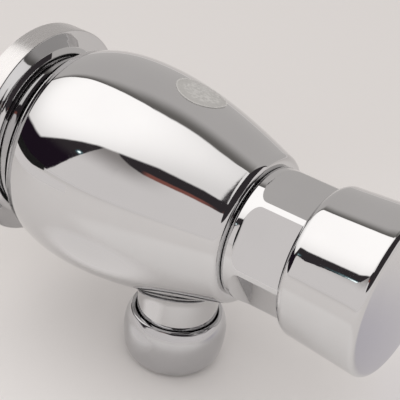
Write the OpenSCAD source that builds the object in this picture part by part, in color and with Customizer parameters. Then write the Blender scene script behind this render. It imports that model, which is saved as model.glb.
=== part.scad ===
// Self-closing urinal flush valve with a push button, wall inlet and bottom outlet.
// The wall is the plane y = 0, the button points to -Y and the outlet to -Z.
// Distances named "dist" run forwards from the wall along the body's axis.

/* [Wall flange] */
// Radius of the wall flange
flange_r = 30; // [28.5:0.5:34]
// Depth of the flange, from the wall to its front edge
flange_depth = 6.5; // [5.8:0.1:7.2]
// Sheet thickness of the flange
flange_wall = 1.2; // [0.8:0.1:1.5]
// How far the flange's face dips towards its collar
flange_dish = 0.3; // [0:0.1:0.5]
// Rounding of the flange's front edge
flange_edge = 0.6; // [0.3:0.1:0.9]
// Wall of the flange's collar
collar_wall = 0.8; // [0.6:0.1:1.2]
// Rise of the collar above the flange's face
collar_rise = 1.5; // [1.3:0.1:1.8]
// Radius of the cove at the collar's foot
collar_cove = 1; // [0.6:0.1:1.2]
// Width of the foam gasket behind the flange
gasket_w = 2.4; // [1.5:0.1:3]
// How far the flange can slide forwards off the wall
flange_slide = 1.8; // [0.5:0.1:2.5]

/* [Body] */
// Gap between the wall and the back of the body
body_gap = 1.5; // [1:0.1:3]
// Radius of the body's neck inside the flange
neck_r = 22.9; // [22:0.1:23.5]
// Distance of the body's back edge from the wall
rim_dist = 14.8; // [14:0.1:16]
// Radius of the body's back edge
rim_r = 26.9; // [26:0.1:28]
// Length of the rounded step behind that edge
rim_len = 2.7; // [2:0.1:3]
// Radial height of that step
rim_h = 1.8; // [1.2:0.1:2.2]
// Distance of the widest place from the wall
belly_dist = 33; // [30:0.5:36]
// Radius at the widest place
belly_r = 30.45; // [29.5:0.05:32]
// Distance of the body's front end from the wall
body_front = 78.4; // [76:0.1:82]
// Step between the bonnet and the body's outline at its front end
front_step = 2.15; // [1.9:0.05:3]
// Rounding of the body's front edge
front_round = 2.4; // [1.5:0.1:2.6]
// Slope of the outline at the back edge
rim_slope = 0.48; // [0.3:0.01:0.55]
// Slope of the outline at the front end
front_slope = 0.36; // [0.25:0.01:0.45]
// Wall thickness of the casting
body_wall = 3; // [2.5:0.1:3.5]

/* [Inlet] */
// Radius of the inlet thread, half of 20.955 mm
thread_r = 10.48; // [10.2:0.01:10.6]
// Length of thread that goes into the wall
tail_len = 16; // [12:0.5:25]
// Length of thread in the body
socket_len = 9; // [8:0.5:12]
// Radius of the nipple's bore
nipple_bore = 6.5; // [6:0.1:6.6]
// Width of the key hexagon in the nipple, across its flats
key_flats = 13.4; // [13.2:0.1:14]
// Depth of the key hexagon
key_depth = 5; // [3:0.5:6]
// Length of the strainer basket
strainer_len = 9; // [7:0.5:10]
// Wall of the strainer basket
strainer_wall = 0.6; // [0.5:0.05:0.8]
// Radius of the hole in the flow restrictor
restrictor_r = 2.6; // [2:0.1:3.5]

/* [Seat and seal] */
// Radius of the seat's bore
seat_bore = 7; // [6:0.1:7.4]
// Radius of the seat's outer thread
seat_r = 10.45; // [10:0.05:10.8]
// Height of the seat's lip
seat_lip = 1; // [0.6:0.1:1.5]
// Radius of the main seal
seal_r = 9; // [8.6:0.1:9.3]
// Thickness of the main seal
seal_t = 3; // [2:0.1:3.5]
// Thickness of the cup that holds the seal
holder_t = 2; // [1.5:0.1:2.5]

/* [Cartridge] */
// Travel of the push button
button_travel = 5; // [3:0.5:6]
// Radius of the push rod
rod_r = 3; // [2.6:0.1:3.2]
// Radius of the threads at both ends of the rod
rod_thread_r = 2.5; // [2:0.1:2.5]
// Bore radius of the cartridge sleeve
sleeve_bore = 11.5; // [11:0.1:11.8]
// Wall of the cartridge sleeve
sleeve_wall = 2; // [1.5:0.1:2.2]
// Length of the cartridge sleeve
sleeve_len = 29; // [27:0.5:31]
// Length of the piston's disc
piston_disc = 3; // [2.5:0.1:4]
// Length of the piston's hub, which the cup seal sits on
piston_hub = 4; // [3.5:0.1:5]
// Wire radius of the return spring
wire_r = 0.6; // [0.4:0.05:0.7]
// Mean radius of the return spring
spring_r = 7.5; // [6.5:0.1:8.5]
// Turns of the return spring
spring_turns = 6; // [4:1:7]

/* [Bonnet] */
// Gap between the body's front end and the bonnet's collar
seam_gap = 0.6; // [0.3:0.1:0.8]
// Radius of the bonnet's collar and neck
bonnet_r = 18.4; // [18:0.1:18.6]
// Length of the bonnet's plain collar
bonnet_collar = 4; // [3:0.1:5]
// Depth of the wrench flats
flat_depth = 1.9; // [1.2:0.1:2.2]
// Radius at which the flats run out
flat_runout = 5; // [4:0.5:7]
// Turn of the flats about the axis
flats_turn = 4; // [0:1:59]
// Length of the bonnet in front of the body
bonnet_len = 20; // [18:0.5:21]
// Length of the bonnet's thread
bonnet_thread = 7.4; // [6:0.1:8]
// Step between the bonnet's collar and its thread
thread_step = 3.4; // [3:0.1:3.6]
// Wall of the bonnet round its front hollow
bonnet_wall = 5.4; // [4:0.1:6]
// Depth of the web behind that hollow, which guides the rod
rod_guide = 7; // [4:0.5:9]

/* [Push button] */
// Distance of the button's back edge from the wall
button_dist = 95.5; // [93:0.5:97]
// Length of the button
button_len = 24.5; // [22:0.5:28]
// Gap between the button's mouth and the bonnet
button_gap = 0.2; // [0.15:0.05:0.5]
// Width of the button's rounded lip
button_lip = 1.9; // [1.7:0.1:2.5]
// How much wider the button is at its front
button_flare = 1.9; // [1:0.1:3]
// Rounding of the button's back edge
button_back_round = 3.3; // [2.5:0.1:3.5]
// Rounding of the button's front edge
button_front_round = 1.8; // [1:0.1:2.5]
// Height of the dome on the button's face
button_dome = 0.4; // [0.2:0.1:0.8]
// Wall of the button
button_wall = 1.6; // [1.2:0.1:1.8]

/* [Outlet] */
// Distance of the outlet's axis from the wall
outlet_dist = 56; // [54:0.5:58]
// Radius of the spigot above the nut
spigot_r = 11.4; // [11.2:0.1:11.7]
// Radius of the blend between spigot and body
spigot_blend = 5.4; // [4:0.1:6]
// Depth of the nut's top edge below the body's axis
nut_top = 36; // [35.5:0.1:38]
// Radius of the nut's mouth at its top edge
nut_mouth_r = 12.85; // [12.7:0.05:13.2]
// Largest radius of the nut
nut_r = 14.5; // [14:0.05:15]
// Width of the nut's flat lip, from its mouth inwards
nut_lip = 1.1; // [0.6:0.05:1.15]
// Height of the nut
nut_height = 16.7; // [15:0.1:18]
// Rounding of the nut's bottom edge
nut_round = 6; // [4:0.1:6.5]
// Radius of the socket that takes the flush pipe
pipe_r = 6.5; // [6:0.1:6.6]
// Depth of that socket
pipe_depth = 12; // [10:0.5:13]
// Length of the spigot's thread
spigot_thread = 9; // [8:0.1:10]
// Wall of the backflow sleeve
backflow_wall = 0.9; // [0.6:0.1:1.2]
// Length of the backflow sleeve
backflow_len = 8; // [6:0.5:9]

/* [Sticker] */
// Distance of the clear sticker from the wall
sticker_dist = 51.5; // [45:0.5:60]
// Radius of the sticker
sticker_r = 7.2; // [5:0.1:8]
// Thickness of the sticker
sticker_t = 0.15; // [0.1:0.05:0.3]
// Angle of the sticker round the body, where 90 is the top
sticker_angle = 77; // [60:1:120]

/* [Hidden] */
$fn = 72;

// Running clearance of a part that slides or turns in a bore
run_gap = 0.05;
// Clearance of a part that is fixed in a bore
fix_gap = 0.03;
// Clearance between faces that touch
face_gap = 0.15;
// Overlap of a cutter past the face that it cuts
past = 1;

front_r = bonnet_r + front_step;
bonnet_thread_r = bonnet_r - thread_step;
flats_apothem = bonnet_r - flat_depth;
button_mouth = bonnet_r + button_gap;
button_back_r = button_mouth + button_lip;
button_front_r = button_back_r + button_flare;

flange_bore = neck_r + run_gap;
collar_front = flange_depth - flange_dish + collar_rise;
neck_front = collar_front + flange_slide + 0.5;
rim_back = rim_dist - rim_len;

inlet_washer_t = 1.5;
socket_end = body_gap + socket_len + inlet_washer_t;
back_len = belly_dist - rim_dist;
front_len = body_front - belly_dist;
step_len = 1.5;
chamber_back = socket_end + step_len;
seal_end_gap = 0.35;
chamber_len = seal_t + holder_t + button_travel + seat_lip + face_gap + seal_end_gap;
partition_back = chamber_back + chamber_len;
partition_len = 4;
partition_front = partition_back + partition_len;
inlet_chamber_r = seal_r + 3;
seat_flange_t = 1.5;
lip_dist = partition_back - seat_lip;
seal_front = lip_dist - face_gap;
holder_front = seal_front - seal_t;
nut_front = holder_front - holder_t;
small_nut_t = 3.8;
small_nut_flats = 8;

cartridge_front = body_front - bonnet_thread;
sleeve_flange_t = 1.5;
sleeve_flange_r = bonnet_thread_r - 0.4;
sleeve_r = sleeve_bore + sleeve_wall;
sleeve_back = cartridge_front - sleeve_len;
sleeve_floor_t = 2;
shoulder_dist = cartridge_front - sleeve_flange_t;

clip_t = 1.5;
clip_gap = 2.5;
clip_front = cartridge_front - clip_gap;
hub_front = clip_front - clip_t;
disc_front = hub_front - piston_hub;
piston_back = disc_front - piston_disc;
hub_r = 5;

bonnet_back = body_front + seam_gap;
flats_start = bonnet_back + bonnet_collar;
runout_len = sqrt(pow(flat_runout, 2) - pow(flat_runout - flat_depth, 2));
bonnet_front = body_front + seam_gap + bonnet_len;
bush_r = 6;
bush_len = 6.3;
bush_back = cartridge_front + 1.5;
bush_front = bush_back + bush_len;
rod_ring_t = 0.8;
gland_front = bush_front + 2 * rod_ring_t + 0.4;
bonnet_cup_back = gland_front + rod_guide;

button_front = button_dist + button_len;
lock_back = bonnet_front + button_travel + 0.1;
lock_front = lock_back + small_nut_t;
cap_inside = button_front - button_dome - button_wall - 0.2;
rod_back = nut_front - small_nut_t - 0.6;
rod_front = cap_inside - 2.2;

spigot_step = nut_top + 2;
spigot_end = spigot_step + spigot_thread;
nut_bottom = nut_top + nut_height;
nut_floor_t = 2.3;
nut_floor = nut_bottom - nut_floor_t;
slip_t = 0.8;
washer_t = nut_floor - spigot_end - slip_t - 2 * face_gap;
nut_room_r = 10.1;
backflow_lip = 1;
backflow_groove_r = pipe_r + 0.4;
pipe_stop = spigot_end - pipe_depth;

inlet_thread_round = 0.8;
relief_back = 0.2;
relief_len = 1.2;
grip_t = 0.8;
grip_dist = flange_depth - flange_dish - 0.1;

spring_gap_to_seat = 0.1;

// Points of an arc about [x, y] from angle a to angle b
function arc(x, y, r, a, b, n = 6) =
    [for (i = [0:n]) let (t = a + (b - a) * i / n) [x + r * cos(t), y + r * sin(t)]];

// Cubic between two radii with given end slopes, where t runs from 0 to 1 over the length len
function blend(r0, r1, m0, m1, len, t) =
    r0 * (2 * pow(t, 3) - 3 * pow(t, 2) + 1) + r1 * (3 * pow(t, 2) - 2 * pow(t, 3))
    + m0 * len * (pow(t, 3) - 2 * pow(t, 2) + t) + m1 * len * (pow(t, 3) - pow(t, 2));

// Outer radius of the body at a distance from the wall
function body_r(d) = d < belly_dist
    ? blend(rim_r, belly_r, rim_slope, 0, back_len, (d - rim_dist) / back_len)
    : blend(belly_r, front_r, 0, -front_slope, front_len, (d - belly_dist) / front_len);

// Outline of the body's curved side between two distances, moved outwards by an offset
function body_side(d0, d1, out = 0, n = 14) =
    [for (i = [0:n]) let (d = d0 + (d1 - d0) * i / n) [body_r(d) + out, d]];

// Turns a profile of [radius, distance] about the body's axis
module turned() {
    rotate([90, 0, 0]) rotate_extrude() children();
}

// Turns a profile of [radius, depth] about the outlet's axis
module turned_down() {
    translate([0, -outlet_dist, 0]) rotate([180, 0, 0]) rotate_extrude() children();
}

// Rectangle between two radii and two distances
module ring_area(r0, r1, d0, d1) {
    translate([r0, d0]) square([r1 - r0, d1 - d0]);
}

// Hexagonal nut on the body's axis
module hex_nut(flats, bore, d0, d1) {
    rotate([90, 0, 0]) translate([0, 0, d0]) difference() {
        cylinder(h = d1 - d0, r = flats / 2 / cos(30), $fn = 6);
        translate([0, 0, -past]) cylinder(h = d1 - d0 + 2 * past, r = bore);
    }
}

module wall_flange() {
    face_dist = flange_depth - flange_dish;
    collar_r = flange_bore + collar_wall;
    color("silver") turned() polygon(concat(
        [[flange_r - flange_wall, 0], [flange_r, 0]],
        arc(flange_r - flange_edge, flange_depth - flange_edge, flange_edge, 0, 90),
        arc(collar_r + collar_cove, face_dist + collar_cove, collar_cove, 270, 180),
        [[collar_r, collar_front - 0.3], [collar_r - 0.3, collar_front], [flange_bore, collar_front]],
        [[flange_bore, face_dist - flange_wall], [flange_r - flange_wall, face_dist - flange_wall]]
    ));
}

module flange_gasket() {
    gasket_front = flange_depth - flange_dish - flange_wall;
    color("dimgray") turned() ring_area(
        flange_r - flange_wall - fix_gap - gasket_w, flange_r - flange_wall - fix_gap, run_gap, gasket_front);
}

module grip_ring() {
    color("black") turned() translate([neck_r - grip_t, grip_dist]) circle(grip_t, $fn = 32);
}

module body_outline() {
    step_turn = 60;
    lean = atan(front_slope);
    round_r = front_r + front_slope * front_round - front_round / cos(lean);
    polygon(concat(
        [[0, body_gap], [neck_r - 0.5, body_gap], [neck_r, body_gap + 0.5], [neck_r, neck_front]],
        [[neck_r + 0.6, rim_back - 0.5], [rim_r - rim_h, rim_back]],
        arc(rim_r - rim_h, rim_dist, rim_h, -step_turn, -step_turn / 5, 4),
        body_side(rim_dist, body_front - front_round * (1.1 - sin(lean))),
        arc(round_r, body_front - front_round, front_round, lean, 90),
        [[0, body_front]]
    ));
}

module body_hollows() {
    pocket_r0 = 14;
    pocket_wall = 3.7;
    pocket_r1 = neck_r - pocket_wall;
    groove_half = grip_t + 0.1;
    ring_area(pocket_r0, pocket_r1, body_gap - past, body_gap + socket_len);
    ring_area(neck_r - 2 * grip_t - run_gap, neck_r + past, grip_dist - groove_half, grip_dist + groove_half);
    ring_area(0, thread_r + fix_gap, 0, socket_end);
    ring_area(0, seal_r + 0.2, socket_end - past, chamber_back + past);
    ring_area(0, inlet_chamber_r, chamber_back, partition_back);
    ring_area(0, seat_r + fix_gap, partition_back - past, partition_front + past);
    water_chamber();
    ring_area(0, bonnet_thread_r + fix_gap, shoulder_dist, body_front + past);
}

// Egg-shaped water chamber round the cartridge
module water_chamber() {
    tube_r = inlet_chamber_r + body_wall;
    mouth_r = sleeve_r + 0.5;
    polygon(concat(
        [[0, partition_front], [tube_r, partition_front], [tube_r, chamber_back + body_wall]],
        body_side(chamber_back + body_wall, shoulder_dist - body_wall, -body_wall, 9),
        [[mouth_r, shoulder_dist - 1], [mouth_r, shoulder_dist + past], [0, shoulder_dist + past]]
    ));
}

module spigot_outline() {
    flare_end = body_r(outlet_dist) + 0.8;
    flare_turn = 60;
    polygon(concat(
        [[0, front_r], [spigot_r + spigot_blend / 2, front_r]],
        arc(spigot_r + spigot_blend, flare_end, spigot_blend, 180 + flare_turn, 180),
        [[spigot_r, spigot_step - 0.4], [thread_r, spigot_step], [thread_r, spigot_end - 0.6]],
        [[thread_r - 0.6, spigot_end], [0, spigot_end]]
    ));
}

module valve_body() {
    color("silver") difference() {
        union() {
            turned() body_outline();
            turned_down() spigot_outline();
        }
        turned() body_hollows();
        turned_down() {
            ring_area(0, pipe_r - 0.5, 0, spigot_end + past);
            ring_area(0, backflow_groove_r, pipe_stop - backflow_lip, pipe_stop);
            ring_area(0, pipe_r, pipe_stop, spigot_end + past);
        }
    }
}

module inlet_nipple() {
    nipple_front = body_gap + socket_len;
    c = inlet_thread_round;
    color("goldenrod") rotate([90, 0, 0]) difference() {
        rotate_extrude() polygon([
            [nipple_bore, -tail_len], [thread_r - c, -tail_len], [thread_r, c - tail_len],
            [thread_r, relief_back], [thread_r - 1, relief_back], [thread_r - 1, relief_back + relief_len],
            [thread_r, relief_back + relief_len], [thread_r, nipple_front - c], [thread_r - c, nipple_front],
            [nipple_bore, nipple_front]
        ]);
        translate([0, 0, -tail_len - past])
            cylinder(h = key_depth + past, r = key_flats / 2 / cos(30), $fn = 6);
    }
}

module inlet_strainer() {
    rim_len = 1.5;
    back = key_depth - tail_len + 0.3;
    front = back + strainer_len;
    r = nipple_bore - fix_gap;
    basket_r = r - 1;
    slots = 10;
    slot_w = 1.6;
    slot_back = back + rim_len + 1;
    slot_front = front - 2;
    color("gainsboro") difference() {
        turned() difference() {
            union() {
                ring_area(0, r, back, back + rim_len);
                ring_area(0, basket_r, back, front);
            }
            ring_area(0, basket_r - strainer_wall, back - past, front - strainer_wall);
        }
        for (i = [0:slots - 1]) rotate([90, 0, 0]) rotate([0, 0, 360 / slots * i])
            translate([basket_r - strainer_wall - past, -slot_w / 2, slot_back])
                cube([strainer_wall + 2 * past, slot_w, slot_front - slot_back]);
    }
}

module flow_restrictor() {
    back = 2.5;
    front = 6;
    holes = 6;
    r = nipple_bore - fix_gap;
    color("ivory") difference() {
        turned() ring_area(restrictor_r, r, back, front);
        for (i = [0:holes - 1]) rotate([90, 0, 0]) rotate([0, 0, 360 / holes * i])
            translate([(restrictor_r + r) / 2, 0, back - past])
                cylinder(h = front - back + 2 * past, r = 0.7);
    }
}

module inlet_washer() {
    back = body_gap + socket_len;
    color("black") turned() ring_area(nipple_bore + 0.6, thread_r - 0.1, back, back + inlet_washer_t);
}

module valve_seat() {
    groove_d = partition_back + partition_len / 2;
    color("goldenrod") turned() difference() {
        union() {
            ring_area(seat_bore, seat_r, partition_back, partition_front + seat_flange_t);
            ring_area(seat_bore, seat_r + 2, partition_front, partition_front + seat_flange_t);
            polygon([
                [seat_bore, partition_back + past], [seat_bore, lip_dist], [seat_bore + 0.6, lip_dist],
                [seat_bore + 1.5, partition_back], [seat_bore + 1.5, partition_back + past]
            ]);
        }
        ring_area(seat_r - 1.1, seat_r + past, groove_d - 0.6, groove_d + 0.6);
    }
}

module seat_ring() {
    groove_d = partition_back + partition_len / 2;
    color("black") turned() translate([seat_r - 0.52, groove_d]) circle(0.5, $fn = 32);
}

module seal_nut() {
    color("goldenrod") hex_nut(small_nut_flats, rod_thread_r + run_gap, nut_front - small_nut_t, nut_front);
}

module seal_holder() {
    color("goldenrod") turned() ring_area(rod_thread_r + run_gap, seal_r, nut_front, holder_front);
}

module main_seal() {
    color("black") turned() ring_area(rod_thread_r + run_gap, seal_r, holder_front, seal_front);
}

module push_rod() {
    clip_back = hub_front;
    color("lightgray") turned() difference() {
        polygon([
            [0, rod_back], [rod_thread_r - 0.4, rod_back], [rod_thread_r, rod_back + 0.4],
            [rod_thread_r, seal_front], [rod_r, seal_front], [rod_r, lock_back],
            [rod_thread_r, lock_back], [rod_thread_r, rod_front - 0.4], [rod_thread_r - 0.4, rod_front],
            [0, rod_front]
        ]);
        ring_area(rod_r - 0.5, rod_r + past, clip_back, clip_back + clip_t);
    }
}

module cartridge_sleeve() {
    drains = 6;
    windows = 4;
    window_len = 7;
    window_w = 6;
    color("ivory") difference() {
        turned() {
            ring_area(sleeve_bore, sleeve_r, sleeve_back, cartridge_front);
            ring_area(sleeve_bore, sleeve_flange_r, shoulder_dist, cartridge_front);
            ring_area(rod_r + run_gap, sleeve_r, sleeve_back, sleeve_back + sleeve_floor_t);
        }
        for (i = [0:drains - 1]) rotate([90, 0, 0]) rotate([0, 0, 360 / drains * (i + 0.5)])
            translate([spring_r + 1.2, 0, sleeve_back - past])
                cylinder(h = sleeve_floor_t + 2 * past, r = 1.4);
        for (i = [0:windows - 1]) rotate([90, 0, 0]) rotate([0, 0, 360 / windows * i])
            translate([sleeve_bore - past, -window_w / 2, sleeve_back + sleeve_floor_t + 1.5])
                cube([sleeve_wall + 2 * past, window_w, window_len]);
        bleed_cutter(0.9 + fix_gap);
    }
}

// Radial hole for the bleed jet, near the front of the sleeve
module bleed_cutter(r) {
    translate([0, -(shoulder_dist - 1.6), sleeve_bore - past])
        cylinder(h = sleeve_wall + 2 * past, r = r, $fn = 24);
}

module bleed_jet() {
    color("goldenrod") translate([0, -(shoulder_dist - 1.6), sleeve_bore + run_gap]) difference() {
        cylinder(h = sleeve_wall + 0.4, r = 0.9, $fn = 24);
        translate([0, 0, -past]) cylinder(h = sleeve_wall + 2 * past, r = 0.3, $fn = 24);
    }
}

// Helical spring as one tube, with its rings worked out along the helix
module return_spring() {
    rings_per_turn = 8;
    sides = 6;
    low = sleeve_back + sleeve_floor_t + spring_gap_to_seat + wire_r;
    high = piston_back - spring_gap_to_seat - wire_r;
    rings = spring_turns * rings_per_turn;
    pitch = (high - low) / spring_turns;
    lean = atan2(pitch, 2 * PI * spring_r);
    points = [for (i = [0:rings]) let (a = 360 * i / rings_per_turn, d = low + (high - low) * i / rings)
        for (k = [0:sides - 1]) let (b = 360 * k / sides, out = wire_r * cos(b), up = wire_r * sin(b))
            [(spring_r + out) * cos(a) + up * sin(lean) * sin(a),
             (spring_r + out) * sin(a) - up * sin(lean) * cos(a),
             d + up * cos(lean)]];
    side_faces = [for (i = [0:rings - 1]) for (k = [0:sides - 1])
        let (a = i * sides + k, b = i * sides + (k + 1) % sides, c = b + sides, d = a + sides)
            each [[a, b, c], [a, c, d]]];
    back_cap = [for (k = [1:sides - 2]) [0, k + 1, k]];
    front_cap = [for (k = [1:sides - 2]) [rings * sides, rings * sides + k, rings * sides + k + 1]];
    line = [for (i = [0:rings]) let (a = 360 * i / rings_per_turn)
        [spring_r * cos(a), spring_r * sin(a), low + (high - low) * i / rings]];
    echo(spring_gap = min([for (i = [0:rings]) for (j = [i + rings_per_turn / 2:1:rings])
        norm(line[i] - line[j])]) - 2 * wire_r);
    color("lightgray") rotate([90, 0, 0]) polyhedron(points, concat(side_faces, back_cap, front_cap));
}

module piston() {
    color("ivory") turned() {
        ring_area(rod_r + fix_gap, sleeve_bore - 0.2, piston_back, disc_front);
        ring_area(rod_r + fix_gap, hub_r, piston_back, hub_front);
    }
}

module piston_cup() {
    lip_len = piston_hub - 0.2;
    lip_w = 1.2;
    base_len = 1.4;
    cup_r = sleeve_bore - run_gap;
    color("black") turned() {
        ring_area(hub_r + fix_gap, cup_r, disc_front, disc_front + base_len);
        ring_area(cup_r - lip_w, cup_r, disc_front, disc_front + lip_len);
    }
}

module piston_clip() {
    color("lightgray") turned()
        ring_area(rod_r - 0.5 + fix_gap, hub_r, hub_front + fix_gap, clip_front - fix_gap);
}

module bonnet_profile() {
    edge = 0.5;
    ring_floor = bonnet_thread_r - 1.35;
    difference() {
        polygon([
            [0, cartridge_front], [bonnet_thread_r - 0.6, cartridge_front],
            [bonnet_thread_r, cartridge_front + 0.6], [bonnet_thread_r, bonnet_back],
            [bonnet_r - edge, bonnet_back], [bonnet_r - edge / 4, bonnet_back + edge / 4],
            [bonnet_r, bonnet_back + edge], [bonnet_r, bonnet_front - 1], [bonnet_r - 1, bonnet_front],
            [0, bonnet_front]
        ]);
        ring_area(ring_floor, bonnet_thread_r + past, body_front - 1.7, body_front - 0.2);
        ring_area(0, bush_r + 3, cartridge_front - past, bush_back);
        ring_area(0, bush_r + fix_gap, bush_back - past, bush_front);
        ring_area(0, rod_r + 2 * rod_ring_t + 0.15, bush_front - past, gland_front);
        ring_area(0, rod_r + 0.2, gland_front - past, bonnet_cup_back + past);
        ring_area(0, bonnet_r - bonnet_wall, bonnet_cup_back, bonnet_front + past);
    }
}

// One wrench flat with its round run-out, as a block to take away
module flat_cutter() {
    flat_from = flats_start + runout_len;
    half_w = bonnet_r;
    translate([0, half_w, 0]) rotate([90, 0, 0]) linear_extrude(2 * half_w) polygon(concat(
        arc(flats_apothem + flat_runout, flat_from, flat_runout, 270, 180, 10),
        [[flats_apothem, bonnet_front + past], [flats_apothem + flat_runout, bonnet_front + past]]
    ));
}

module bonnet() {
    color("silver") difference() {
        turned() bonnet_profile();
        for (i = [0:5]) rotate([90, 0, 0]) rotate([0, 0, 90 + flats_turn + 60 * i]) flat_cutter();
    }
}

module bonnet_ring() {
    color("black") turned() translate([bonnet_thread_r - 0.68, body_front - 0.95]) circle(0.65, $fn = 32);
}

module rod_bush() {
    color("ivory") turned() ring_area(rod_r + run_gap, bush_r, bush_back, bush_front);
}

module rod_ring() {
    middle = (bush_front + gland_front) / 2;
    color("black") turned()
        translate([rod_r + run_gap + rod_ring_t, middle]) circle(rod_ring_t, $fn = 32);
}

module lock_nut() {
    color("lightgray") hex_nut(small_nut_flats, rod_thread_r + run_gap, lock_back, lock_front);
}

// Outer radius of the button at a distance from the wall
function button_r(d) = button_back_r + (button_front_r - button_back_r) * (d - button_dist) / button_len;

module button_insert() {
    disc_t = 4;
    disc_back = cap_inside - disc_t;
    hub = 6;
    color("dimgray") turned() polygon([
        [rod_thread_r + run_gap, lock_front], [hub, lock_front], [hub, disc_back],
        [button_r(disc_back) - button_wall - fix_gap, disc_back],
        [button_r(cap_inside - 1) - button_wall - fix_gap, cap_inside - 1],
        [button_r(cap_inside - 1) - button_wall - 1, cap_inside - fix_gap],
        [rod_thread_r + run_gap, cap_inside - fix_gap]
    ]);
}

module push_button() {
    back = button_dist + button_back_round;
    front = button_front - button_dome - button_front_round;
    back_r = button_r(back) - button_back_round;
    front_r = button_r(front) - button_front_round;
    mouth_angle = acos((button_mouth - back_r) / button_back_round);
    skirt = 1.2;
    color("silver") turned() polygon(concat(
        arc(back_r, back, button_back_round, -mouth_angle, 0),
        arc(front_r, front, button_front_round, 0, 90),
        [[front_r / 2, button_front - button_dome / 4], [0, button_front]],
        [[0, cap_inside], [button_r(front) - button_wall - 1, cap_inside]],
        [[button_r(cap_inside - 1) - button_wall, cap_inside - 1]],
        [[button_r(back) - button_wall, back], [button_mouth, back - skirt]]
    ));
}

module backflow_sleeve() {
    r = pipe_r - 0.5 - fix_gap;
    top = pipe_stop - backflow_len;
    color("dimgray") turned_down() {
        ring_area(r - backflow_wall, r, top, pipe_stop - fix_gap);
        ring_area(r - backflow_wall, backflow_groove_r - fix_gap,
            pipe_stop - backflow_lip + fix_gap, pipe_stop - fix_gap);
    }
}

module cone_washer() {
    top = spigot_end + face_gap;
    color("black") turned_down() polygon([
        [pipe_r + 0.1, top], [thread_r - 1.2, top], [nut_room_r - 0.3, top + washer_t / 2],
        [nut_room_r - 0.3, top + washer_t], [pipe_r + 0.1, top + washer_t]
    ]);
}

module slip_ring() {
    bottom = nut_floor - face_gap / 2;
    color("goldenrod") turned_down() ring_area(pipe_r + 0.1, nut_room_r - 0.3, bottom - slip_t, bottom);
}

module outlet_nut() {
    side_r = 30;
    lip_r = nut_mouth_r - nut_lip;
    belly = nut_top + nut_height * 0.36;
    up_r = (pow(belly - nut_top, 2) + pow(nut_r - nut_mouth_r, 2)) / 2 / (nut_r - nut_mouth_r);
    up_angle = asin((belly - nut_top) / up_r);
    low = nut_bottom - nut_round;
    low_angle = asin((low - belly) / (side_r - nut_round));
    low_r = nut_r - side_r + (side_r - nut_round) * cos(low_angle);
    color("silver") turned_down() polygon(concat(
        [[lip_r, nut_top + 0.3], [lip_r + 0.2, nut_top + 0.1], [nut_mouth_r - 0.2, nut_top]],
        arc(nut_r - up_r, belly, up_r, -up_angle, 0, 8),
        arc(nut_r - side_r, belly, side_r, low_angle / 4, low_angle * 3 / 4, 2),
        arc(low_r, low, nut_round, low_angle, 90, 8),
        [[pipe_r + 0.5, nut_bottom], [pipe_r + 0.5, nut_floor]],
        [[nut_room_r, nut_floor], [nut_room_r, spigot_end + 0.1], [thread_r + run_gap, spigot_end - 0.4]],
        [[thread_r + run_gap, spigot_step + 1], [lip_r, spigot_step]]
    ));
}

module clear_sticker() {
    lift = 0.03;
    span = 2 * sticker_r;
    from = sticker_dist - span;
    to = sticker_dist + span;
    tilt = atan((body_r(sticker_dist + 0.5) - body_r(sticker_dist - 0.5)));
    color("whitesmoke") intersection() {
        turned() difference() {
            polygon(concat([[0, from]], body_side(from, to, lift + sticker_t), [[0, to]]));
            polygon(concat([[0, from - past]], body_side(from, to, lift), [[0, to + past]]));
        }
        rotate([90, 0, 0]) rotate([0, 0, sticker_angle]) translate([body_r(sticker_dist), 0, sticker_dist])
            rotate([0, 90 + tilt, 0]) translate([0, 0, -sticker_r]) cylinder(h = span, r = sticker_r);
    }
}

wall_flange();
flange_gasket();
grip_ring();
valve_body();
inlet_nipple();
inlet_strainer();
flow_restrictor();
inlet_washer();
valve_seat();
seat_ring();
seal_nut();
seal_holder();
main_seal();
push_rod();
cartridge_sleeve();
return_spring();
piston();
piston_cup();
piston_clip();
bleed_jet();
bonnet();
bonnet_ring();
rod_bush();
rod_ring();
lock_nut();
button_insert();
push_button();
backflow_sleeve();
cone_washer();
slip_ring();
outlet_nut();
clear_sticker();
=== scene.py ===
# Chromed self-closing urinal valve, dressed for the photograph.
# The valve's sizes are in millimetres and turned to metres where they are used.
# "Dist" runs forwards from the wall along the body, "depth" runs down the outlet.
# The stage's places and sizes are in metres, and its angles in degrees.

import math

import bpy
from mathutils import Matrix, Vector


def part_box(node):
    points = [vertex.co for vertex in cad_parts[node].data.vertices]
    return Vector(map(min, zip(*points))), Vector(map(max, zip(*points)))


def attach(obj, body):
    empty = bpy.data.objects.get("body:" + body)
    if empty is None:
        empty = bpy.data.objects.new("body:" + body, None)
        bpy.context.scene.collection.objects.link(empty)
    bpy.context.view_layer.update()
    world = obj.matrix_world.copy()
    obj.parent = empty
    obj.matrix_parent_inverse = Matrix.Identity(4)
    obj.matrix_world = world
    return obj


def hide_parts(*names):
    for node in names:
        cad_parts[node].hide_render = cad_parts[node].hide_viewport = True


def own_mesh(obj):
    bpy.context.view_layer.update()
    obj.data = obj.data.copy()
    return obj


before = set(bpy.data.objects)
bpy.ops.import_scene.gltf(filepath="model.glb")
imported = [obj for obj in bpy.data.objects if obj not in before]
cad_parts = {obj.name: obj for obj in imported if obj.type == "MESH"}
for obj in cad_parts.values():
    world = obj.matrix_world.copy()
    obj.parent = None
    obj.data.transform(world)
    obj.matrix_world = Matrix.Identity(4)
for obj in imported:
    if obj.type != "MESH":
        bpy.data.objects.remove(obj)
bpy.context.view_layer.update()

MM = 0.001
OUTLET_DIST = 56.0


def turned(*angles):
    """Angles in degrees, turned to radians."""
    return tuple(math.radians(angle) for angle in angles)


# The camera, fitted to the round edges seen in the photograph

CAMERA_PLACE = (-251.596, -214.743, 185.062)
CAMERA_TURN = (57.874, -6.1991, -54.360)
CAMERA_LENS = 118.338


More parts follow.
